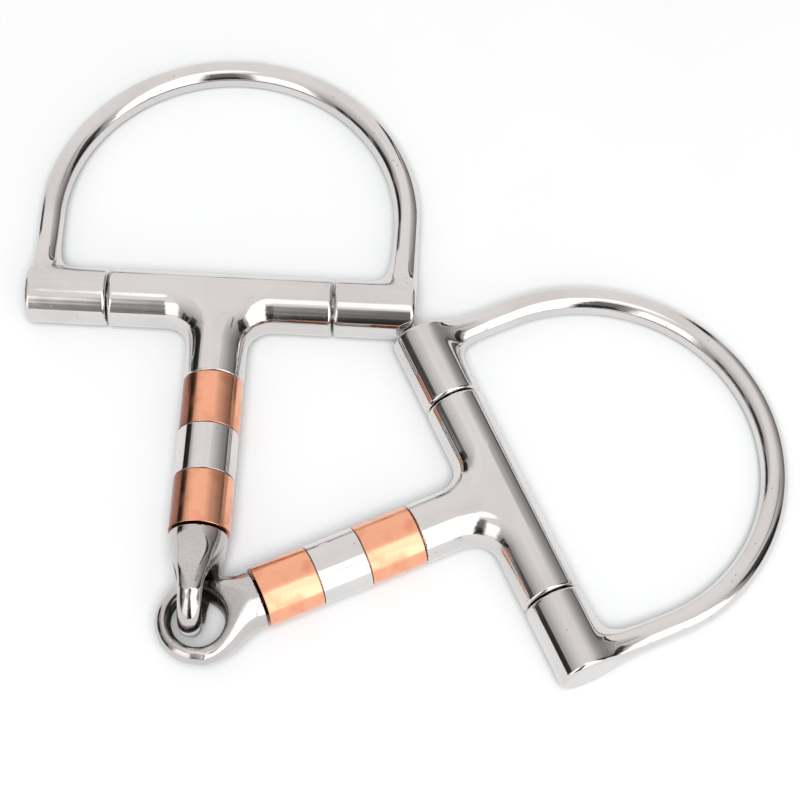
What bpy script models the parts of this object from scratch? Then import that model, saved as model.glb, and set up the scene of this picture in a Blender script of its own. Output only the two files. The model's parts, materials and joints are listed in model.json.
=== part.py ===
"""Single-jointed D-ring snaffle bit with copper and steel rollers on the mouthpiece.

Metres, +Z up.  The bit lies folded on a flat surface at z = 0, with the dee cheeks flat and the
two halves of the mouthpiece joined by their eyes.  The origin is under the middle of the bit.

Each side is modelled in its own frame: X runs along the hinge barrel, +Y points from the barrel
to the bow of the dee, the mouthpiece runs along -Y, and the origin is the middle of the barrel.
"""

from math import acos, atan2, cos, hypot, pi, radians, sin, sqrt

import bmesh
import bpy
from mathutils import Matrix, Vector

MM = 0.001
GAP = 0.3 * MM               # running gap between neighbouring pieces
OVERCUT = 1.0 * MM           # how far a cutting tool stands out of the face that it enters

# Hinge barrel: the tee in the middle, one bored end of the dee on each side of it
BARREL_RADIUS = 6.0 * MM
BARREL_HALF = 41.0 * MM      # over the dee's end faces
BARREL_BEVEL = 0.6 * MM
TEE_HALF = 23.55 * MM
PIN_RADIUS = 2.5 * MM
PIN_BEVEL = 0.3 * MM
BORE_RADIUS = 2.87 * MM
END_WALL = 3.0 * MM          # solid end of the dee's closed barrel end
PLUG_RADIUS = 3.4 * MM
PLUG_LENGTH = 2.4 * MM

# Bow of the dee: an arc with a nearly straight leg down to each barrel end
BAR_RADIUS = 2.8 * MM
BAR_SIDES = 16
BOW_RADIUS = 38.2 * MM
BOW_CENTRE = 20.0 * MM       # from the barrel's axis to the centre of the arc
BOW_STEPS = 36
LEG_INSET = 0.05 * MM        # from the barrel's end face to the outside of the leg
LEG_FOOT = 3.6 * MM          # how far from the barrel's axis the leg starts, inside its wall
LEG_STEPS = 7
LEG_ROOT_DEPTH = 5.0 * MM    # half thickness of the leg where it leaves the barrel's round side
LEG_TAPER_START = 3.3 * MM
LEG_TAPER = 11.0 * MM        # length over which the leg thins to the bar's own radius
LEG_FILLET = 4.2 * MM        # inner corner between the leg and the barrel end

# Mouthpiece: neck of the tee, copper, steel and copper rollers, and the eye
NECK_LENGTH = 19.4 * MM      # from the barrel's axis to the first roller
NECK_FILLET = 5.5 * MM
NECK_ROOT = 3.2 * MM         # how far from the barrel's axis the neck starts, inside its wall
NECK_STEPS = 9
RIM_BEVEL = 0.35 * MM
ROLLER_RADIUS = 6.25 * MM
ROLLER_BEVEL = 0.2 * MM
COPPER_LENGTH = 11.85 * MM   # pitch of a copper roller, gap included
STEEL_LENGTH = 10.5 * MM     # pitch of the steel roller, gap included
SPINDLE_RADIUS = 3.5 * MM
SPINDLE_ROOT = 1.5 * MM      # how far the spindle runs into the shoulder
SOCKET_RADIUS = 3.87 * MM
SOCKET_FLOOR = 7.2 * MM      # from the barrel's axis to the floor of the spindle's socket
SHOULDER_RADIUS = 5.9 * MM
SHOULDER_STEPS = 6
EYE_REACH = 13.1 * MM        # from the shoulder to the middle of the eye's hole
EYE_HOLE_RADIUS = 5.35 * MM
EYE_BAR = 3.4 * MM           # bar of the eye, across the ring
EYE_BAR_SIDES = 16
EYE_STEPS = 40
EYE_LAP = 0.9 * MM           # from the end of the shoulder to the edge of the eye's hole
EYE_TIP_THICKNESS = 5.0 * MM
EYE_TAPER_START = 1.0 * MM   # from the shoulder to where the eye starts to get thinner
EYE_TAPER = 14.5 * MM        # length over which it thins to the tip's thickness

# How the bit lies
LEFT_TEE = Vector((-38.11, 11.82, 6.0)) * MM
LEFT_HEADING = radians(-3.1)
LEFT_CANNON_RISE = radians(3.2)
RIGHT_HEADING = radians(-65.8)
RIGHT_CANNON_RISE = radians(2.2)
DEE_DROP = radians(3.15)     # the dee's bar is thinner than its barrel, so its bow hangs lower
EYE_PLAY = 1.9 * MM          # from the left eye's tip bar to the middle of the right eye, along it
EYE_SIDE_PLAY = 0.6 * MM     # the same, square to the right half of the mouthpiece

SHOULDER = NECK_LENGTH + 2 * COPPER_LENGTH + STEEL_LENGTH
EYE_CENTRE = SHOULDER + EYE_REACH
EYE_RADIUS = EYE_HOLE_RADIUS + EYE_BAR / 2
SIDES = 32
PIN_SIDES = 24
SHARP = radians(35)


def material(name, colour, roughness):
    made = bpy.data.materials.new(name)
    made.use_nodes = True
    shader = made.node_tree.nodes["Principled BSDF"]
    shader.inputs["Base Color"].default_value = (*colour, 1.0)
    shader.inputs["Metallic"].default_value = 1.0
    shader.inputs["Roughness"].default_value = roughness
    return made


def new_object(name, shape, metal=None):
    """An object from a finished bmesh, shaded smooth except over sharp edges."""
    bmesh.ops.recalc_face_normals(shape, faces=shape.faces)
    mesh = bpy.data.meshes.new(name)
    shape.to_mesh(mesh)
    shape.free()
    if metal:
        mesh.materials.append(metal)
    mesh.shade_smooth()
    mesh.set_sharp_from_angle(angle=SHARP)
    made = bpy.data.objects.new(name, mesh)
    bpy.context.collection.objects.link(made)
    return made


def skin(rings, closed=False):
    """A shape over a row of rings of points: closed on itself, or with both ends capped."""
    shape = bmesh.new()
    rows = [[shape.verts.new(point) for point in ring] for ring in rings]
    follow = rows[1:] + rows[:1] if closed else rows[1:]
    for here, there in zip(rows, follow):
        for k in range(len(here)):
            n = (k + 1) % len(here)
            shape.faces.new((here[k], here[n], there[n], there[k]))
    if not closed:
        shape.faces.new(rows[0])
        shape.faces.new(rows[-1])
    return shape


def ring_across(axis, along, width, height, sides=SIDES):
    """A ring of points around the X or the Y axis: half width level, half height upright."""
    ring = []
    for k in range(sides):
        level = width * cos(2 * pi * k / sides)
        upright = height * sin(2 * pi * k / sides)
        ring.append((along, level, upright) if axis == "X" else (level, along, upright))
    return ring


def rod(start, end, radius, axis, bevel=0.0, sides=SIDES):
    """A solid round bar, with bevelled rims where a bevel is given."""
    stations = [(start, radius), (end, radius)]
    if bevel:
        stations = [
            (start, radius - bevel),
            (start + bevel, radius),
            (end - bevel, radius),
            (end, radius - bevel),
        ]
    return skin([ring_across(axis, along, r, r, sides) for along, r in stations])


def fillet_flare(distance, start, radius):
    """How far a round fillet of this radius has spread at a distance, from its tangent point."""
    depth = max(0.0, min(radius, start - distance))
    return radius - sqrt(radius * radius - depth * depth)


def boolean(target, tool, operation):
    """Join to or cut from the target, and use the tool up."""
    change = target.modifiers.new(operation, "BOOLEAN")
    change.operation = operation
    change.solver = "EXACT"
    change.object = tool
    view = bpy.context.evaluated_depsgraph_get()
    mesh = bpy.data.meshes.new_from_object(target.evaluated_get(view))
    target.modifiers.clear()
    target.data = mesh
    bpy.data.objects.remove(tool)


def leg_half_depth(y):
    """Half thickness of the dee's bar upright to its plane, at a distance from the barrel's axis."""
    left = 1 - max(0.0, min(1.0, (y - LEG_TAPER_START) / LEG_TAPER))
    return BAR_RADIUS + (LEG_ROOT_DEPTH - BAR_RADIUS) * left * left


def bow_path():
    """Middle of the dee's bar, from one leg's foot over the arc to the other's, as (x, y)."""
    foot = BARREL_HALF - BAR_RADIUS - LEG_INSET
    tangent = atan2(-BOW_CENTRE, foot) + acos(BOW_RADIUS / hypot(foot, BOW_CENTRE))
    arc = []
    for k in range(BOW_STEPS + 1):
        angle = tangent + (pi - 2 * tangent) * k / BOW_STEPS
        arc.append((BOW_RADIUS * cos(angle), BOW_CENTRE + BOW_RADIUS * sin(angle)))
    leg = []
    leg_end = LEG_TAPER_START + LEG_TAPER
    for k in range(LEG_STEPS + 1):
        y = LEG_FOOT + (leg_end - LEG_FOOT) * k / LEG_STEPS
        leg.append((foot + (arc[0][0] - foot) * y / arc[0][1], y))
    other = [(-x, y) for x, y in reversed(leg)]
    return leg + arc + other


def dee_bar():
    """The bent round bar of the dee, spread inwards at its feet by the corner fillets."""
    path = bow_path()
    rings = []
    for i, (x, y) in enumerate(path):
        before = path[max(0, i - 1)]
        after = path[min(len(path) - 1, i + 1)]
        run = Vector((after[0] - before[0], after[1] - before[1], 0)).normalized()
        out = Vector((run.y, -run.x, 0))
        flare = fillet_flare(y, BARREL_RADIUS + LEG_FILLET, LEG_FILLET)
        middle = Vector((x, y, 0)) - out * flare / 2
        width = BAR_RADIUS + flare / 2
        ring = []
        for k in range(BAR_SIDES):
            angle = 2 * pi * k / BAR_SIDES
            rise = Vector((0, 0, leg_half_depth(y) * sin(angle)))
            ring.append(middle + out * width * cos(angle) + rise)
        rings.append(ring)
    return skin(rings)


def make_dee(name, metal):
    """Bow and both barrel ends in one: the +X end is closed, the -X end takes the plug."""
    dee = new_object(name, dee_bar(), metal)
    inner = TEE_HALF + GAP
    for start, end in ((inner, BARREL_HALF), (-BARREL_HALF, -inner)):
        barrel_end = rod(start, end, BARREL_RADIUS, "X", BARREL_BEVEL)
        boolean(dee, new_object("barrel_end", barrel_end), "UNION")
    bore = rod(-BARREL_HALF - OVERCUT, BARREL_HALF - END_WALL, BORE_RADIUS, "X")
    boolean(dee, new_object("bore", bore), "DIFFERENCE")
    seat = -BARREL_HALF + PLUG_LENGTH + GAP
    rebate = rod(-BARREL_HALF - OVERCUT, seat, PLUG_RADIUS + GAP, "X")
    boolean(dee, new_object("rebate", rebate), "DIFFERENCE")
    return dee


def make_tee(name, metal):
    """Hinge barrel and neck, bored across for the pin and along the neck for the spindle."""
    barrel = rod(-TEE_HALF, TEE_HALF, BARREL_RADIUS, "X", BARREL_BEVEL)
    tee = new_object(name, barrel, metal)
    rings = []
    end = NECK_LENGTH - GAP / 2
    flared = BARREL_RADIUS + NECK_FILLET
    for k in range(NECK_STEPS + 1):
        s = NECK_ROOT + (flared - NECK_ROOT) * k / NECK_STEPS
        width = ROLLER_RADIUS + fillet_flare(s, flared, NECK_FILLET)
        rise = (s - NECK_ROOT) / (end - NECK_ROOT)
        height = BARREL_RADIUS + (ROLLER_RADIUS - BARREL_RADIUS) * rise
        rings.append(ring_across("Y", -s, width, height))
    rim = ROLLER_RADIUS - RIM_BEVEL
    rings.append(ring_across("Y", -end + RIM_BEVEL, ROLLER_RADIUS, ROLLER_RADIUS))
    rings.append(ring_across("Y", -end, rim, rim))
    boolean(tee, new_object("neck", skin(rings)), "UNION")
    pin_bore = rod(-TEE_HALF - OVERCUT, TEE_HALF + OVERCUT, BORE_RADIUS, "X")
    boolean(tee, new_object("pin_bore", pin_bore), "DIFFERENCE")
    socket = rod(-NECK_LENGTH - OVERCUT, -SOCKET_FLOOR, SOCKET_RADIUS, "Y")
    boolean(tee, new_object("socket", socket), "DIFFERENCE")
    return tee


def eye_half_thickness(s):
    """Half thickness of the eye end along its hole, at a distance from the shoulder's face."""
    t = max(0.0, min(1.0, (s - EYE_TAPER_START) / EYE_TAPER))
    fall = t * t * (3 - 2 * t)
    return SHOULDER_RADIUS + (EYE_TIP_THICKNESS / 2 - SHOULDER_RADIUS) * fall


def eye_ring():
    """The ring of the eye, thickest next to the shoulder.  Its hole runs along X."""
    rings = []
    for i in range(EYE_STEPS):
        angle = 2 * pi * i / EYE_STEPS
        out = Vector((0, -cos(angle), sin(angle)))
        middle = Vector((0, -EYE_CENTRE, 0)) + out * EYE_RADIUS
        thick = eye_half_thickness(EYE_REACH + EYE_RADIUS * cos(angle))
        ring = []
        for k in range(EYE_BAR_SIDES):
            a = 2 * pi * k / EYE_BAR_SIDES
            ring.append(middle + out * EYE_BAR / 2 * cos(a) + Vector((thick * sin(a), 0, 0)))
        rings.append(ring)
    return skin(rings, closed=True)


def make_eye_spindle(name, metal):
    """Spindle, shoulder and eye in one, with the eye's hole along X."""
    eye = new_object(name, eye_ring(), metal)
    face = GAP / 2
    first = face + RIM_BEVEL
    last = EYE_REACH - EYE_HOLE_RADIUS - EYE_LAP
    rim = SHOULDER_RADIUS - RIM_BEVEL
    rings = [ring_across("Y", -SHOULDER - face, rim, rim)]
    for k in range(SHOULDER_STEPS + 1):
        s = first + (last - first) * k / SHOULDER_STEPS
        rings.append(ring_across("Y", -SHOULDER - s, eye_half_thickness(s), SHOULDER_RADIUS))
    boolean(eye, new_object("shoulder", skin(rings)), "UNION")
    spindle = rod(-SHOULDER - SPINDLE_ROOT, -SOCKET_FLOOR - GAP, SPINDLE_RADIUS, "Y")
    boolean(eye, new_object("spindle", spindle), "UNION")
    return eye


def make_roller(name, length, metal):
    """A plain sleeve about Y, centred on its own origin."""
    half = (length - GAP) / 2
    stations = [
        (-half, SOCKET_RADIUS),
        (-half, ROLLER_RADIUS - ROLLER_BEVEL),
        (-half + ROLLER_BEVEL, ROLLER_RADIUS),
        (half - ROLLER_BEVEL, ROLLER_RADIUS),
        (half, ROLLER_RADIUS - ROLLER_BEVEL),
        (half, SOCKET_RADIUS),
    ]
    rings = [ring_across("Y", along, r, r) for along, r in stations]
    return new_object(name, skin(rings, closed=True), metal)


def make_pin(name, metal):
    start = -BARREL_HALF + PLUG_LENGTH + 2 * GAP
    end = BARREL_HALF - END_WALL - GAP
    return new_object(name, rod(start, end, PIN_RADIUS, "X", PIN_BEVEL, PIN_SIDES), metal)


def make_plug(name, metal):
    plug = rod(-BARREL_HALF, -BARREL_HALF + PLUG_LENGTH, PLUG_RADIUS, "X")
    return new_object(name, plug, metal)


def empty(name, parent=None, matrix=Matrix()):
    made = bpy.data.objects.new(name, None)
    bpy.context.collection.objects.link(made)
    attach(made, parent, matrix)
    return made


def attach(child, parent, matrix=Matrix()):
    child.parent = parent
    child.matrix_local = matrix


def make_side(side, cannon_frame, dee_frame, eye_turn, steel, copper):
    """All pieces of one half of the bit, hung on its mouthpiece's frame and its dee's frame."""
    attach(make_tee(side + "_tee", steel), cannon_frame)
    eye = make_eye_spindle(side + "_eye_spindle", steel)
    attach(eye, cannon_frame, Matrix.Rotation(eye_turn, 4, "Y"))
    attach(make_dee(side + "_dee", steel), dee_frame)
    attach(make_pin(side + "_hinge_pin", steel), dee_frame)
    attach(make_plug(side + "_pin_plug", steel), dee_frame)
    start = NECK_LENGTH
    rollers = [
        ("_outer_copper_roller", COPPER_LENGTH, copper),
        ("_steel_roller", STEEL_LENGTH, steel),
        ("_inner_copper_roller", COPPER_LENGTH, copper),
    ]
    for label, length, metal in rollers:
        roller = make_roller(side + label, length, metal)
        attach(roller, cannon_frame, Matrix.Translation((0, -start - length / 2, 0)))
        start += length


def make_frames(side, place, cannon_rise):
    """Empties of one half: where it lies, its mouthpiece and its dee's hinge."""
    base = empty(side + "_side", None, place)
    cannon = empty(side + "_cannon", base, Matrix.Rotation(-cannon_rise, 4, "X"))
    dee = empty(side + "_dee_hinge", base, Matrix.Rotation(-DEE_DROP, 4, "X"))
    return cannon, dee


def build():
    for item in list(bpy.data.objects):
        bpy.data.objects.remove(item)
    steel = material("polished_steel", (0.62, 0.60, 0.58), 0.08)
    copper = material("copper", (0.86, 0.45, 0.29), 0.22)

    place = Matrix.Translation(LEFT_TEE) @ Matrix.Rotation(LEFT_HEADING, 4, "Z")
    left_cannon, left_dee = make_frames("left", place, LEFT_CANNON_RISE)

    # The fold's axis runs up through the tip bar of the left eye
    tip = Vector((0, -EYE_CENTRE - EYE_RADIUS, 0))
    fold = empty("fold_axis", left_cannon, Matrix.Translation(tip))
    bpy.context.view_layer.update()
    fold_place = fold.matrix_world.translation.copy()

    # The right tee follows from the joint: its eye is off the tip bar by the play both ways
    turn = Matrix.Rotation(RIGHT_HEADING, 4, "Z")
    tilt = turn @ Matrix.Rotation(-RIGHT_CANNON_RISE, 4, "X")
    offset = tilt @ Vector((-EYE_SIDE_PLAY, EYE_CENTRE + EYE_PLAY, 0))
    right_tee = fold_place + offset
    right_tee.z = BARREL_RADIUS
    place = Matrix.Translation(right_tee) @ turn
    right_cannon, right_dee = make_frames("right", place, RIGHT_CANNON_RISE)

    make_side("left", left_cannon, left_dee, 0.0, steel, copper)
    make_side("right", right_cannon, right_dee, pi / 2, steel, copper)


build()
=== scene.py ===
"""Looks of the D-ring snaffle bit: smooth polished surfaces, materials, light and camera."""

import json
from math import acos, atan2, cos, hypot, pi, radians, sin

import bmesh
import bpy
import numpy as np
from mathutils import Matrix, Vector


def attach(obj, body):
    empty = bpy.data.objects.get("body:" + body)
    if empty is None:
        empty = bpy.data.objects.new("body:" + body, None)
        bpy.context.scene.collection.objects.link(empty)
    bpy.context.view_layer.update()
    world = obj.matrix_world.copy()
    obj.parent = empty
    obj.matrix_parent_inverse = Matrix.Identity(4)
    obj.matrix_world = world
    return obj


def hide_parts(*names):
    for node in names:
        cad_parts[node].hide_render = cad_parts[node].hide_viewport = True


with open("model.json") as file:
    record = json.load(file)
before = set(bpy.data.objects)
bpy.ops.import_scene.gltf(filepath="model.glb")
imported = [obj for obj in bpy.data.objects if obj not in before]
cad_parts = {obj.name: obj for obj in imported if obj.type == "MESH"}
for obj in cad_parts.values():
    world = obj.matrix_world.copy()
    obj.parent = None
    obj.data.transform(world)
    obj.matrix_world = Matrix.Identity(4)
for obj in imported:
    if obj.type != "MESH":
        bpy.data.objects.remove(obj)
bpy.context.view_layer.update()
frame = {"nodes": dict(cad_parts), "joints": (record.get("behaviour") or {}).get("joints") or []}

MM = 0.001

# The object's own sizes: the CAD model's, apart from the two that say otherwise
GAP = 0.3 * MM
BARREL_RADIUS = 6.0 * MM
BARREL_HALF = 41.0 * MM
TEE_HALF = 23.55 * MM
PIN_RADIUS = 2.5 * MM
BORE_RADIUS = 2.87 * MM
END_WALL = 3.0 * MM
PLUG_RADIUS = 3.4 * MM
PLUG_LENGTH = 2.4 * MM
BAR_RADIUS = 2.8 * MM
BOW_RADIUS = 38.2 * MM
BOW_CENTRE = 20.0 * MM
LEG_INSET = 0.05 * MM
LEG_ROOT_DEPTH = 4.3 * MM    # 5.0 in the CAD model: here the fillet on top adds the rest
LEG_TAPER_START = 3.3 * MM
LEG_TAPER = 11.0 * MM
NECK_LENGTH = 19.4 * MM
NECK_FILLET = 5.5 * MM
ROLLER_RADIUS = 6.25 * MM
COPPER_LENGTH = 11.85 * MM
STEEL_LENGTH = 10.5 * MM
SPINDLE_RADIUS = 3.5 * MM
SOCKET_RADIUS = 3.87 * MM
SOCKET_FLOOR = 7.2 * MM
SHOULDER_RADIUS = 5.9 * MM
EYE_REACH = 13.1 * MM
EYE_HOLE_RADIUS = 5.35 * MM
EYE_BAR = 3.4 * MM
EYE_TIP_THICKNESS = 5.0 * MM
EYE_TAPER_START = 1.0 * MM
EYE_TAPER = 14.0 * MM        # 14.5 in the CAD model: the smooth eye thins a little sooner
DEE_DROP = radians(3.15)

SHOULDER = NECK_LENGTH + 2 * COPPER_LENGTH + STEEL_LENGTH
EYE_CENTRE = SHOULDER + EYE_REACH

# Finer shape that only the polished surfaces show
SLEEVE_GAP = 0.14 * MM       # between neighbouring sleeves of the mouthpiece
BARREL_RIM = 0.8 * MM        # rounding beside the barrel's two joints
END_RIM = 1.0 * MM           # rounding of the dee's end faces
NECK_RIM = 0.35 * MM
SLEEVE_RIM = 0.16 * MM
SHOULDER_RIM = 0.5 * MM
HOLE_RIM = 0.3 * MM
CLOSED_FILLET = 3.8 * MM     # corner between bow and barrel at the closed end
OPEN_FILLET = 3.0 * MM       # the same at the open end
TOP_FILLET = 1.1 * MM        # the same on top of the barrel, at both ends
CORNER_SCALE = 5.1 * MM      # turns a fillet's radius into a blend of squared heights
EYE_FILLET = 4.0 * MM        # corner between the eye's disc and its shoulder
OUTER_ROLL = 0.62            # how far the ring's outer edge rolls over, as a share of EYE_BAR
HOLE_ROLL = 0.24             # the same for the edge of its hole, next to the shoulder
HOLE_ROLL_GAIN = 0.30        # how much more that edge rolls over at the tip
SPINDLE_OVERLAP = 2.0 * MM   # how far the spindle reaches into the shoulder

# Making of the meshes
WELD_DISTANCE = 0.01 * MM
SLOPE_STEP = 0.01 * MM       # half the distance over which a field's slope is taken
PRESS_STEPS = 10             # moves that press a remeshed skin onto its smooth surface
LARGEST_MOVE = 0.5           # the most that one of them may be, in voxels
LEAST_SLOPE = 0.05           # squared slope that keeps a move finite where a field is flat
TINY = 1e-12
SLEEVE_SIDES = 160
RIM_STEPS = 6
OWN_FRAME = "own_frame"      # mesh attribute with each vertex's place in its piece's own frame


# ---------------------------------------------------------------- frames of the two halves

def joint(name):
    return next(j for j in frame["joints"] if j["name"] == name)


def frame_matrix(origin, x_axis, y_axis):
    """A frame from its origin, its X axis and a direction near its Y axis."""
    x = Vector(x_axis).normalized()
    z = x.cross(Vector(y_axis)).normalized()
    y = z.cross(x)
    turn = Matrix((x, y, z)).transposed().to_4x4()
    return Matrix.Translation(Vector(origin)) @ turn


def side_frames(side):
    """Frames of one half: the mouthpiece along -Y, and the dee with its bow along +Y."""
    hinge = joint(side + "_dee_hinge")
    along = joint(side + "_steel_roller_spin")["axis"]
    cannon = frame_matrix(hinge["pos_m"], hinge["axis"], along)
    level = Vector((along[0], along[1], 0))
    dee = frame_matrix(hinge["pos_m"], hinge["axis"], level) @ Matrix.Rotation(-DEE_DROP, 4, "X")
    return cannon, dee


# ---------------------------------------------------------------- surfaces as distance fields
# A field takes points in a piece's own frame, in metres, and is below 0 inside the metal.

def positive(value):
    return np.clip(value, 0, None)


def smooth_step(t):
    t = np.clip(t, 0, 1)
    return t * t * (3 - 2 * t)


def round_union(a, b, radius):
    """Union with a round fillet in the corner between the two."""
    corner = np.hypot(positive(radius - a), positive(radius - b))
    return np.maximum(radius, np.minimum(a, b)) - corner


def round_cut(a, b, radius):
    """What is inside both, with a round edge where they meet."""
    return -round_union(-a, -b, radius)


def squared_height(off, half_width, depth):
    """Squared height of an elliptic ridge over its middle line; it falls on evenly beyond it."""
    t = off / half_width
    return depth**2 * np.where(t < 1, 1 - t**2, 2 - 2 * t)


def soft_larger(a, b, blend):
    """The larger of two values, and a little more where they are nearly equal."""
    return np.maximum(a, b) + blend * np.log1p(np.exp(-np.abs(a - b) / blend))


def bow_distance(x, y):
    """Distance in the dee's plane to the middle line of its bar: an arc and two straight legs."""
    foot = BARREL_HALF - BAR_RADIUS - LEG_INSET
    tangent = atan2(-BOW_CENTRE, foot) + acos(BOW_RADIUS / hypot(foot, BOW_CENTRE))
    top = np.array((BOW_RADIUS * cos(tangent), BOW_CENTRE + BOW_RADIUS * sin(tangent)))
    base = np.array((foot, 0.0))
    x = np.abs(x)
    run = top - base
    t = np.clip(((x - base[0]) * run[0] + (y - base[1]) * run[1]) / run.dot(run), 0, 1)
    leg = np.hypot(x - base[0] - t * run[0], y - base[1] - t * run[1])
    arc = np.abs(np.hypot(x, y - BOW_CENTRE) - BOW_RADIUS)
    on_arc = (x - top[0]) * run[0] + (y - top[1]) * run[1] > 0
    return np.where(on_arc, arc, leg)


def dee_field(p):
    """Bow, two bored barrel ends and the plug's rebate.

    Bow and barrel are joined as squared heights over the dee's plane, so that a leg runs into
    the barrel's top without a crease while its plan keeps a round inner corner.
    """
    x, y, z = p.T
    across = np.hypot(y, z)
    root = 1 - smooth_step(y / (LEG_TAPER_START + LEG_TAPER))
    depth = BAR_RADIUS + (LEG_ROOT_DEPTH - BAR_RADIUS) * root
    bar = squared_height(bow_distance(x, y), BAR_RADIUS, depth)
    end = squared_height(np.abs(y), BARREL_RADIUS, BARREL_RADIUS)

    # The inner corner is widest in the dee's plane, and the barrel's far side keeps its round
    level = (1 - smooth_step(np.abs(z) / BARREL_RADIUS)) * smooth_step(1 + y / BARREL_RADIUS)
    corner = TOP_FILLET + np.where(x > 0, CLOSED_FILLET, OPEN_FILLET) * level
    squared = z**2 - soft_larger(bar, end, CORNER_SCALE * corner)
    thin = smooth_step((y - BARREL_RADIUS) / LEG_TAPER)
    solid = squared / (2 * (BARREL_RADIUS + (BAR_RADIUS - BARREL_RADIUS) * thin))

    inner = np.where(y < 2 * BARREL_RADIUS, TEE_HALF + GAP - np.abs(x), -BARREL_RADIUS)
    solid = round_cut(solid, inner, BARREL_RIM)
    solid = round_cut(solid, np.abs(x) - BARREL_HALF, END_RIM)
    bore = np.maximum(across - BORE_RADIUS, x - BARREL_HALF + END_WALL)
    rebate = np.maximum(across - PLUG_RADIUS - GAP, x + BARREL_HALF - PLUG_LENGTH - GAP)
    return round_cut(solid, -np.minimum(bore, rebate), HOLE_RIM)


def tee_field(p):
    """Hinge barrel and neck with one smooth top, and their bores.

    The rounded plan of the tee is blown up to a round section: depth is how far a point is
    from the middle line, as if the plan's edge were the side of a bar.
    """
    x, y, z = p.T
    s = -y
    grown = smooth_step((s - BARREL_RADIUS) / NECK_FILLET)
    radius = BARREL_RADIUS + (ROLLER_RADIUS - BARREL_RADIUS) * grown
    neck = np.maximum(np.abs(x) - radius, 3 * y)    # it ends at the barrel's middle line
    plan = round_union(np.abs(y) - radius, neck, NECK_FILLET)
    solid = np.hypot(positive(radius + plan), z) - radius
    solid = round_cut(solid, np.abs(x) - TEE_HALF, BARREL_RIM)
    solid = round_cut(solid, s - NECK_LENGTH + SLEEVE_GAP / 2, NECK_RIM)
    socket = np.maximum(np.hypot(x, z) - SOCKET_RADIUS, SOCKET_FLOOR - s)
    holes = np.minimum(np.hypot(y, z) - BORE_RADIUS, socket)
    return round_cut(solid, -holes, HOLE_RIM)


def eye_half_thickness(s):
    """Half the eye's size along X, at a distance beyond the last sleeve."""
    fall = smooth_step((s - EYE_TAPER_START) / EYE_TAPER)
    return SHOULDER_RADIUS + (EYE_TIP_THICKNESS / 2 - SHOULDER_RADIUS) * fall


def eye_field(p):
    """Spindle, shoulder and eye, with the hole of the eye along X.

    The plan is the shoulder's strip filleted into the eye's disc. Its outer edge rolls over
    less and less towards the ring, and the hole's edge more and more towards the tip.
    """
    x, y, z = p.T
    s = -y - SHOULDER
    thick = eye_half_thickness(s)
    radial = np.hypot(s - EYE_REACH, z)
    strip = np.maximum(np.abs(z) - SHOULDER_RADIUS, s - EYE_REACH)
    plan = round_union(strip, radial - EYE_HOLE_RADIUS - EYE_BAR, EYE_FILLET)
    slim = smooth_step(s / EYE_REACH)
    outer_roll = SHOULDER_RADIUS + (EYE_BAR * OUTER_ROLL - SHOULDER_RADIUS) * slim
    near_tip = smooth_step((s - EYE_REACH / 2) / EYE_REACH)
    hole_roll = EYE_BAR * (HOLE_ROLL + HOLE_ROLL_GAIN * near_tip)
    outer = positive(1 + plan / outer_roll)
    hole = positive(1 + (EYE_HOLE_RADIUS - radial) / hole_roll)
    solid = (np.hypot(np.hypot(outer, hole), x / thick) - 1) * np.minimum(hole_roll, thick)
    solid = round_cut(solid, SLEEVE_GAP / 2 - s, SHOULDER_RIM)
    spindle = np.maximum(np.hypot(x, z) - SPINDLE_RADIUS, s - SPINDLE_OVERLAP)
    spindle = np.maximum(spindle, SOCKET_FLOOR + GAP - s - SHOULDER)
    return np.minimum(solid, spindle)


def pin_field(p):
    x, y, z = p.T
    start = -BARREL_HALF + PLUG_LENGTH + 2 * GAP
    end = BARREL_HALF - END_WALL - GAP
    cap = np.abs(x - (start + end) / 2) - (end - start) / 2
    return round_cut(np.hypot(y, z) - PIN_RADIUS, cap, HOLE_RIM)


def plug_field(p):
    x, y, z = p.T
    cap = np.abs(x + BARREL_HALF - PLUG_LENGTH / 2) - PLUG_LENGTH / 2
    return round_cut(np.hypot(y, z) - PLUG_RADIUS, cap, HOLE_RIM)


def gradient(field, p):
    """A field's slope at each point, from small steps along the three axes."""
    columns = []
    for axis in np.eye(3):
        ahead = field(p + SLOPE_STEP * axis)
        behind = field(p - SLOPE_STEP * axis)
        columns.append((ahead - behind) / (2 * SLOPE_STEP))
    return np.stack(columns, 1)


def keep_frame(mesh, local):
    """Note each vertex's place in the piece's own frame, which the materials follow."""
    note = mesh.attributes.new(OWN_FRAME, "FLOAT_VECTOR", "POINT")
    note.data.foreach_set("vector", np.asarray(local, dtype=np.float32).ravel())


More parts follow.
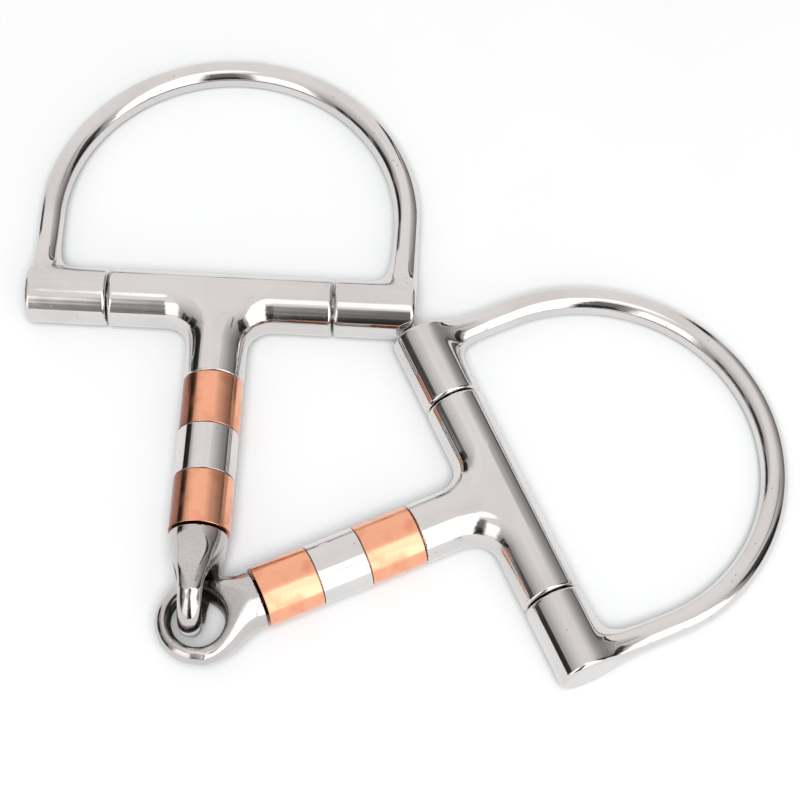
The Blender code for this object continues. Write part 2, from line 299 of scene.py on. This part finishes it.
def skin(node, place, field, voxel):
    """A fine mesh for a CAD node: its shape remeshed, then pressed onto the smooth surface."""
    mesh = frame["nodes"][node].data.copy()
    mesh.materials.clear()
    piece = bpy.data.objects.new(node + "_skin", mesh)
    bpy.context.scene.collection.objects.link(piece)
    weld = piece.modifiers.new("weld", "WELD")
    weld.merge_threshold = WELD_DISTANCE
    remesh = piece.modifiers.new("remesh", "REMESH")
    remesh.mode = "VOXEL"
    remesh.voxel_size = voxel
    view = bpy.context.evaluated_depsgraph_get()
    fine = bpy.data.meshes.new_from_object(piece.evaluated_get(view))
    piece.modifiers.clear()
    piece.data = fine
    bpy.data.meshes.remove(mesh)

    points = np.zeros(len(fine.vertices) * 3)
    fine.vertices.foreach_get("co", points)
    turn = np.array(place.to_3x3())
    origin = np.array(place.translation)
    local = (points.reshape(-1, 3) - origin) @ turn
    for _ in range(PRESS_STEPS):
        slope = gradient(field, local)
        size = np.maximum((slope**2).sum(1), LEAST_SLOPE)
        move = (field(local) / size)[:, None] * slope
        reach = np.maximum(np.linalg.norm(move, axis=1), TINY)
        local = local - move * np.minimum(1, LARGEST_MOVE * voxel / reach)[:, None]
    normals = gradient(field, local)
    normals /= np.maximum(np.linalg.norm(normals, axis=1), TINY)[:, None]
    fine.vertices.foreach_set("co", (local @ turn.T + origin).ravel())
    keep_frame(fine, local)
    fine.shade_smooth()
    fine.normals_split_custom_set_from_vertices((normals @ turn.T).tolist())
    fine.update()
    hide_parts(node)
    return piece


def turned_piece(name, place, profile):
    """A ring-shaped solid about a frame's Y from a closed profile of (along, radius) points."""
    shape = bmesh.new()
    rows = []
    for k in range(SLEEVE_SIDES):
        angle = 2 * pi * k / SLEEVE_SIDES
        c, s = cos(angle), sin(angle)
        rows.append([shape.verts.new((r * c, along, r * s)) for along, r in profile])
    for k, here in enumerate(rows):
        there = rows[(k + 1) % SLEEVE_SIDES]
        for i in range(len(profile)):
            n = (i + 1) % len(profile)
            shape.faces.new((here[i], here[n], there[n], there[i]))
    bmesh.ops.recalc_face_normals(shape, faces=shape.faces)
    mesh = bpy.data.meshes.new(name)
    shape.to_mesh(mesh)
    shape.free()
    mesh.shade_smooth()
    keep_frame(mesh, [v.co for v in mesh.vertices])
    mesh.transform(place)
    piece = bpy.data.objects.new(name, mesh)
    bpy.context.scene.collection.objects.link(piece)
    return piece


def rounded_tube(length, radius, bore, rim):
    """Closed profile of a tube centred on the origin, with round outer rims."""
    half = length / 2
    arc = []
    for k in range(RIM_STEPS + 1):
        a = pi / 2 * k / RIM_STEPS
        arc.append((half - rim + rim * sin(a), radius - rim + rim * cos(a)))
    far = [(half - 2 * rim, radius), *arc, (half, bore)]
    near = [(-along, r) for along, r in reversed(far)]
    return near + far


# ---------------------------------------------------------------- materials

STEEL_CLEAN = (0.715, 0.70, 0.69, 1)
STEEL_DULL = (0.63, 0.605, 0.59, 1)
STEEL_SATIN = (0.36, 0.34, 0.33, 1)
PIT_COLOUR = (0.30, 0.28, 0.26, 1)
# Painted shade: the near-black that darkens the wall of each eye's hole
HOLE_PAINTED_SHADE = (0.085, 0.075, 0.07, 1)
COPPER_BRIGHT = (0.93, 0.45, 0.285, 1)
COPPER_BROWN = (0.72, 0.27, 0.15, 1)
FLECK_COLOUR = (0.42, 0.13, 0.07, 1)
# Painted dark reflection: the brown-black flank on each copper sleeve's own -X side
PAINTED_DARK_REFLECTION = (0.19, 0.055, 0.032, 1)
DARK_REFLECTION_EDGE = (-0.60 * ROLLER_RADIUS, -0.38 * ROLLER_RADIUS)   # along a sleeve's own X
DARK_REFLECTION_UNEVEN = 0.9 * MM
HOLE_EDGE = (EYE_HOLE_RADIUS + 0.6 * MM, EYE_HOLE_RADIUS + 2.4 * MM)
HOLE_UNEVEN = 1.2 * MM
STEEL_SMOOTH = 0.03          # roughness before any wear
COPPER_SMOOTH = 0.13


class Graph:
    """Short ways to add shader nodes and join them. Scales of noises are in features a metre."""

    def __init__(self, tree):
        self.tree = tree

    def add(self, kind, inputs, **settings):
        made = self.tree.nodes.new(kind)
        for key, value in settings.items():
            setattr(made, key, value)
        for key, value in inputs.items():
            self.feed(made.inputs[key], value)
        return made

    def feed(self, socket, value):
        if isinstance(value, bpy.types.NodeSocket):
            self.tree.links.new(value, socket)
        else:
            socket.default_value = value

    def math(self, operation, *values):
        made = self.add("ShaderNodeMath", {}, operation=operation)
        for k, value in enumerate(values):
            self.feed(made.inputs[k], value)
        return made.outputs[0]

    def remap(self, value, low, high, from_value, to_value):
        """Smooth change from one value to another as the input passes from low to high."""
        made = self.add("ShaderNodeMapRange", {}, interpolation_type="SMOOTHSTEP")
        for k, item in enumerate((value, low, high, from_value, to_value)):
            self.feed(made.inputs[k], item)
        return made.outputs[0]

    def stretch(self, coords, scale, turn=(0, 0, 0)):
        inputs = {"Vector": coords, "Scale": scale, "Rotation": turn}
        return self.add("ShaderNodeMapping", inputs).outputs[0]

    def noise(self, coords, scale, detail=2.0):
        inputs = {"Vector": coords, "Scale": scale, "Detail": detail}
        return self.add("ShaderNodeTexNoise", inputs).outputs["Fac"]

    def blotches(self, coords, scale, low, high, detail=2.0):
        """Soft-edged patches: 0 where a noise is below one value, 1 where it is above another."""
        return self.remap(self.noise(coords, scale, detail), low, high, 0.0, 1.0)

    def total(self, start, *shares):
        """A start value plus each mask times its amount."""
        for mask, amount in shares:
            start = self.math("MULTIPLY_ADD", mask, amount, start)
        return start

    def mix(self, amount, first, second):
        made = self.add("ShaderNodeMix", {}, data_type="RGBA")
        self.feed(made.inputs[0], amount)
        self.feed(made.inputs[6], first)
        self.feed(made.inputs[7], second)
        return made.outputs[2]

    def tint(self, colour, mask, amount, towards):
        """The colour, moved by up to the given amount towards another where the mask is 1."""
        return self.mix(self.math("MULTIPLY", mask, amount), colour, towards)

    def relief(self, *layers):
        """Bumps on top of each other, from pairs of a height and its distance in millimetres."""
        below = {}
        for height, distance in layers:
            inputs = {"Height": height, "Distance": distance * MM, "Strength": 1.0, **below}
            normal = self.add("ShaderNodeBump", inputs).outputs[0]
            below = {"Normal": normal}
        return normal

    def inside_hole(self, coords):
        """From 1 on the wall of the eye's hole to 0 on its rounded faces, with an uneven edge."""
        flat = self.add("ShaderNodeMapping", {"Vector": coords, "Scale": (0, 1, 1)})
        flat.inputs["Location"].default_value = (0, EYE_CENTRE, 0)
        off = self.add("ShaderNodeVectorMath", {0: flat.outputs[0]}, operation="LENGTH")
        edge = self.noise(coords, scale=400.0)
        radial = self.total(off.outputs["Value"], (edge, HOLE_UNEVEN))
        return self.remap(radial, *HOLE_EDGE, 1.0, 0.0)

    def hairlines(self, coords, scale, turn, thickness):
        """Long thin lines: where a noise stretched in one direction crosses its middle value."""
        value = self.noise(self.stretch(coords, scale, turn), scale=1.0, detail=1.0)
        off = self.math("ABSOLUTE", self.math("SUBTRACT", value, 0.5))
        return self.remap(off, 0.0, thickness, 1.0, 0.0)


def metal(name, colour):
    """A metal's material, with the colour that shows where its node graph is not read."""
    made = bpy.data.materials.new(name)
    made.use_nodes = True
    graph = Graph(made.node_tree)
    shader = made.node_tree.nodes["Principled BSDF"]
    shader.inputs["Metallic"].default_value = 1.0
    shader.inputs["Base Color"].default_value = colour
    coords = graph.add("ShaderNodeAttribute", {}, attribute_name=OWN_FRAME).outputs["Vector"]
    return made, graph, shader, coords


def polished_steel(name, line_scale, hole=False):
    """Mirror-polished steel: hand-polished waviness, fine lines, hairline scratches and pits.

    The eyes are less polished than the rest; the wall of their hole is dull, and painted shade
    darkens it nearly to black.
    """
    made, graph, shader, coords = metal(name, STEEL_CLEAN)
    waves = graph.noise(coords, scale=95.0, detail=1.0)
    ripples = graph.noise(coords, scale=420.0)
    lines = graph.noise(graph.stretch(coords, line_scale), scale=1.0, detail=3.0)
    scratches = graph.math(
        "MAXIMUM",
        graph.hairlines(coords, scale=(60, 700, 700), turn=(0.3, 0.2, 0.5), thickness=0.012),
        graph.hairlines(coords, scale=(500, 70, 500), turn=(0.1, 0.6, 0.25), thickness=0.010),
    )
    patchy = graph.blotches(coords, scale=130.0, low=0.45, high=0.62, detail=3.0)
    scratches = graph.math("MULTIPLY", scratches, patchy)
    cells = graph.add("ShaderNodeTexVoronoi", {"Vector": coords, "Scale": 620.0})
    pits = graph.remap(cells.outputs["Distance"], 0.05, 0.14, 1.0, 0.0)
    patchy = graph.blotches(coords, scale=300.0, low=0.55, high=0.62)
    pits = graph.math("MULTIPLY", pits, patchy)
    smudge = graph.blotches(coords, scale=70.0, low=0.35, high=0.7, detail=4.0)

    wear = ((smudge, 0.04), (lines, 0.03), (scratches, 0.12), (pits, 0.25))
    rough = graph.total(STEEL_SMOOTH, *wear)
    colour = graph.tint(STEEL_CLEAN, smudge, 0.6, STEEL_DULL)
    colour = graph.mix(pits, colour, PIT_COLOUR)
    if hole:
        inside = graph.inside_hole(coords)
        satin = graph.blotches(coords, scale=3200.0, low=0.35, high=0.65)
        rough = graph.total(rough, (satin, 0.07), (inside, 0.20))
        colour = graph.mix(graph.total(0.30, (satin, 0.16)), colour, STEEL_SATIN)
        # Painted shade: the wall of the hole darkened nearly to black, where little light reaches
        colour = graph.tint(colour, inside, 0.9, HOLE_PAINTED_SHADE)
    graph.feed(shader.inputs["Roughness"], rough)
    graph.feed(shader.inputs["Base Color"], colour)

    marks = graph.math("MULTIPLY", graph.math("MAXIMUM", scratches, pits), -1.0)
    normal = graph.relief((waves, 0.05), (ripples, 0.0022), (lines, 0.0006), (marks, 0.0016))
    graph.feed(shader.inputs["Normal"], normal)
    return made


def copper():
    """Turned and polished copper: lathe lines round the sleeve, warm tarnish and rubbed marks.

    One flank of each sleeve, on its own -X side, carries a painted dark reflection in brown.
    """
    made, graph, shader, coords = metal("copper", COPPER_BRIGHT)
    lathe = graph.noise(graph.stretch(coords, (90, 5200, 90)), scale=1.0, detail=3.0)
    waves = graph.noise(coords, scale=130.0, detail=1.0)
    rubs = graph.math(
        "MAXIMUM",
        graph.hairlines(coords, scale=(160, 900, 160), turn=(0.2, 0.1, 0.15), thickness=0.014),
        graph.hairlines(coords, scale=(700, 90, 700), turn=(0.5, 0.2, 0.1), thickness=0.010),
    )
    patchy = graph.blotches(coords, scale=210.0, low=0.45, high=0.6)
    rubs = graph.math("MULTIPLY", rubs, patchy)
    tarnish = graph.blotches(coords, scale=260.0, low=0.42, high=0.72, detail=6.0)
    flecks = graph.blotches(coords, scale=1500.0, low=0.68, high=0.80)

    aside = graph.add("ShaderNodeSeparateXYZ", {"Vector": coords}).outputs["X"]
    edge = graph.noise(graph.stretch(coords, (300, 120, 300)), scale=1.0, detail=4.0)
    painted_dark_flank = graph.remap(graph.total(aside, (edge, DARK_REFLECTION_UNEVEN)), *DARK_REFLECTION_EDGE, 1.0, 0.0)
    colour = graph.tint(COPPER_BRIGHT, tarnish, 0.55, COPPER_BROWN)
    colour = graph.tint(colour, flecks, 0.3, FLECK_COLOUR)
    # Painted dark reflection on the sleeve's -X flank
    colour = graph.tint(colour, painted_dark_flank, 0.85, PAINTED_DARK_REFLECTION)
    graph.feed(shader.inputs["Base Color"], colour)

    rough = graph.total(COPPER_SMOOTH, (tarnish, 0.10), (lathe, 0.05), (rubs, 0.12))
    graph.feed(shader.inputs["Roughness"], rough)

    marks = graph.math("MULTIPLY", graph.math("MAXIMUM", rubs, flecks), -1.0)
    normal = graph.relief((waves, 0.02), (lathe, 0.0022), (marks, 0.002))
    graph.feed(shader.inputs["Normal"], normal)
    return made


# The three numbers are how fine the polishing lines are along a piece's own X, Y and Z
BOW_STEEL = polished_steel("bow_steel", (900, 900, 900))
TEE_STEEL = polished_steel("tee_steel", (1800, 260, 1800))
SLEEVE_STEEL = polished_steel("sleeve_steel", (120, 4200, 120))
EYE_STEEL = polished_steel("eye_steel", (700, 900, 700), hole=True)
COPPER = copper()


# ---------------------------------------------------------------- pieces

def dress(piece, body, look):
    piece.data.materials.clear()
    piece.data.materials.append(look)
    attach(piece, body)


def make_side(side, eye_turn, sleeve_turn):
    """One half of the bit; its eye and its sleeves are turned about the mouthpiece."""
    cannon, dee = side_frames(side)
    eye = cannon @ Matrix.Rotation(eye_turn, 4, "Y")
    # Each skin's name, frame, field and voxel size, then its body and material
    skins = [
        ("_dee", dee, dee_field, 0.4 * MM, "_dee", BOW_STEEL),
        ("_hinge_pin", dee, pin_field, 0.5 * MM, "_dee", TEE_STEEL),
        ("_pin_plug", dee, plug_field, 0.25 * MM, "_dee", TEE_STEEL),
        ("_tee", cannon, tee_field, 0.35 * MM, "_cannon", TEE_STEEL),
        ("_eye_spindle", eye, eye_field, 0.3 * MM, "_cannon", EYE_STEEL),
    ]
    for label, place, field, voxel, body, look in skins:
        dress(skin(side + label, place, field, voxel), side + body, look)
    start = NECK_LENGTH
    sleeves = [
        ("_outer_copper_roller", COPPER_LENGTH, COPPER, "copper"),
        ("_steel_roller", STEEL_LENGTH, SLEEVE_STEEL, "polished_steel"),
        ("_inner_copper_roller", COPPER_LENGTH, COPPER, "copper"),
    ]
    for label, length, look, slot in sleeves:
        profile = rounded_tube(length - SLEEVE_GAP, ROLLER_RADIUS, SOCKET_RADIUS, SLEEVE_RIM)
        place = cannon @ Matrix.Translation((0, -start - length / 2, 0))
        place = place @ Matrix.Rotation(sleeve_turn, 4, "Y")
        piece = turned_piece(side + label + "_skin", place, profile)
        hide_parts(side + label)
        dress(piece, side + label, look)
        start += length


make_side("left", eye_turn=0.0, sleeve_turn=0.0)
make_side("right", eye_turn=pi / 2, sleeve_turn=radians(-28))


# ---------------------------------------------------------------- stage, light and camera

FLOOR_SIZE = 4.0
FLOOR_DARK = (0.44, 0.447, 0.452, 1)
FLOOR_LIGHT = (0.455, 0.462, 0.467, 1)

CAMERA_ELEVATION = radians(65.6)
CAMERA_DISTANCE = 0.547
CAMERA_TARGET = Vector((-0.00051, -0.01068, 0.006))
CAMERA_LENS = 118.8
SENSOR_WIDTH = 36
TOWARDS_CAMERA = Vector((0, -cos(CAMERA_ELEVATION), sin(CAMERA_ELEVATION)))
CAMERA_ROTATION = (pi / 2 - CAMERA_ELEVATION, 0, 0)

FILL_POWER = 34.0
FILL_SIZE = 0.7
FILL_DISTANCE = 1.5

ROOM_LEVEL = 0.97            # brightness of the room where there is no card
ROOM_SPREAD = 0.08           # how far that varies up and down
ROOM_TINT = (1.0, 0.972, 0.962, 1)
UNEVEN = 5.0                 # how far the cards' edges wander, in degrees
FADE_START = 10.0            # elevation from which a card's brightness changes towards its top
CEILING_LIGHT = (172, 80)    # azimuth and elevation of the soft light overhead
CEILING_SPREAD = (8, 17)     # degrees from its middle over which it fades
CEILING_LEVEL = 1.55

# What the polished metal mirrors, as cards on the walls of a studio. Azimuth 0 is away from the
# camera and 90 to its right. A card is: middle azimuth, half width, lower edge, upper edge and
# softness of the edges, all in degrees, then its brightness low down and at the upper edge.
CARDS = [
    (72, 40, -12, 75, 8, 0.28, 0.95),       # wall on the right, dim towards the floor
    (72, 34, -12, 9, 3, 0.13, 0.13),        # the dark foot of it
    (90, 11, 6, 44, 2, 0.02, 0.08),         # dark doorway in it, and a dark shelf
    (60, 3, 42, 60, 2, 0.10, 0.20),
    (29.5, 3.0, -5, 33, 1.5, 0.03, 0.05),   # black stand, right of the middle
    (-92, 38, -12, 76, 7, 0.36, 0.92),      # wall on the left
    (-98, 18, -12, 4, 3, 0.12, 0.12),       # the dark foot of it
    (-82, 11, -12, 31, 3, 0.02, 0.10),      # three dark cloths in it
    (-61.5, 9, -12, 20, 2, 0.02, 0.04),
    (-103, 7, 2, 24, 2, 0.03, 0.05),
    (-115, 4, 0, 27, 2, 0.04, 0.10),        # black stand beside the left window
    (182, 16, -12, 62, 2, 0.28, 0.45),      # the dark side behind the camera
    (177.5, 10.5, -12, 31, 2, 0.03, 0.07),
    (177.5, 10.5, 31, 61, 3, 0.15, 0.22),
    (-148, 17, 5, 52, 4, 1.5, 1.8),         # left window
    (139, 24, -12, 78, 4, 2.3, 2.1),        # right window, and its glazing bar
    (137, 0.8, 0, 74, 0.8, 0.8, 0.8),
]


def make_floor():
    bpy.ops.mesh.primitive_plane_add(size=FLOOR_SIZE)
    floor = bpy.context.object
    floor.name = "floor"
    made = bpy.data.materials.new("floor")
    made.use_nodes = True
    graph = Graph(made.node_tree)
    shader = made.node_tree.nodes["Principled BSDF"]
    shader.inputs["Roughness"].default_value = 0.9
    shader.inputs["Specular IOR Level"].default_value = 0.1
    coords = graph.add("ShaderNodeTexCoord", {}).outputs["Object"]
    grain = graph.noise(coords, scale=40.0, detail=3.0)
    graph.feed(shader.inputs["Base Color"], graph.mix(grain, FLOOR_DARK, FLOOR_LIGHT))
    floor.data.materials.append(made)


def make_world():
    """Room light seen by direction: a pale room, the cards and a bright ceiling."""
    world = bpy.data.worlds.new("studio")
    bpy.context.scene.world = world
    world.use_nodes = True
    graph = Graph(world.node_tree)
    ray = graph.add("ShaderNodeTexCoord", {}).outputs["Generated"]
    x, y, z = graph.add("ShaderNodeSeparateXYZ", {"Vector": ray}).outputs
    azimuth = graph.math("DEGREES", graph.math("ARCTAN2", x, y))
    elevation = graph.math("DEGREES", graph.math("ARCSINE", z))
    wander = graph.noise(ray, scale=7.0)
    uneven = graph.math("MULTIPLY_ADD", wander, 2 * UNEVEN, -UNEVEN)
    azimuth = graph.math("ADD", azimuth, uneven)
    elevation = graph.math("ADD", elevation, uneven)
    light = graph.total(ROOM_LEVEL - ROOM_SPREAD, (graph.noise(ray, scale=2.5), 2 * ROOM_SPREAD))
    for middle, half, low, high, soft, level, top_level in CARDS:
        off = graph.math("WRAP", graph.math("SUBTRACT", azimuth, middle), 180.0, -180.0)
        inside = graph.remap(graph.math("ABSOLUTE", off), half - soft, half + soft, 1.0, 0.0)
        above = graph.remap(elevation, low - soft, low + soft, 0.0, 1.0)
        below = graph.remap(elevation, high - soft, high + soft, 1.0, 0.0)
        amount = graph.math("MULTIPLY", inside, graph.math("MULTIPLY", above, below))
        card = graph.remap(elevation, FADE_START, high, level, top_level)
        change = graph.math("MULTIPLY", graph.math("SUBTRACT", card, light), amount)
        light = graph.math("ADD", light, change)

    side, rise = (radians(v) for v in CEILING_LIGHT)
    towards = (sin(side) * cos(rise), cos(side) * cos(rise), sin(rise))
    dot = graph.add("ShaderNodeVectorMath", {0: ray, 1: towards}, operation="DOT_PRODUCT")
    off = graph.math("DEGREES", graph.math("ARCCOSINE", dot.outputs["Value"]))
    glow = graph.remap(off, *CEILING_SPREAD, CEILING_LEVEL, 0.0)
    light = graph.math("MAXIMUM", light, glow)
    back = world.node_tree.nodes["Background"]
    back.inputs["Color"].default_value = ROOM_TINT
    graph.feed(back.inputs["Strength"], light)


def make_fill():
    """A soft light in line with the camera, so that its shadows hide behind the object.

    The polished metal does not mirror it, so it mostly lights the floor.
    """
    data = bpy.data.lights.new("fill", "AREA")
    data.shape = "DISK"
    data.size = FILL_SIZE
    data.energy = FILL_POWER
    lamp = bpy.data.objects.new("fill", data)
    lamp.location = FILL_DISTANCE * TOWARDS_CAMERA
    lamp.rotation_euler = CAMERA_ROTATION
    lamp.visible_glossy = False
    bpy.context.scene.collection.objects.link(lamp)


def make_camera():
    data = bpy.data.cameras.new("camera")
    data.sensor_width = SENSOR_WIDTH
    data.lens = CAMERA_LENS
    data.clip_start = 0.01
    camera = bpy.data.objects.new("camera", data)
    camera.location = CAMERA_TARGET + CAMERA_DISTANCE * TOWARDS_CAMERA
    camera.rotation_euler = CAMERA_ROTATION
    bpy.context.scene.collection.objects.link(camera)
    bpy.context.scene.camera = camera
    bpy.context.scene.view_settings.view_transform = "Standard"


make_floor()
make_world()
make_fill()
make_camera()
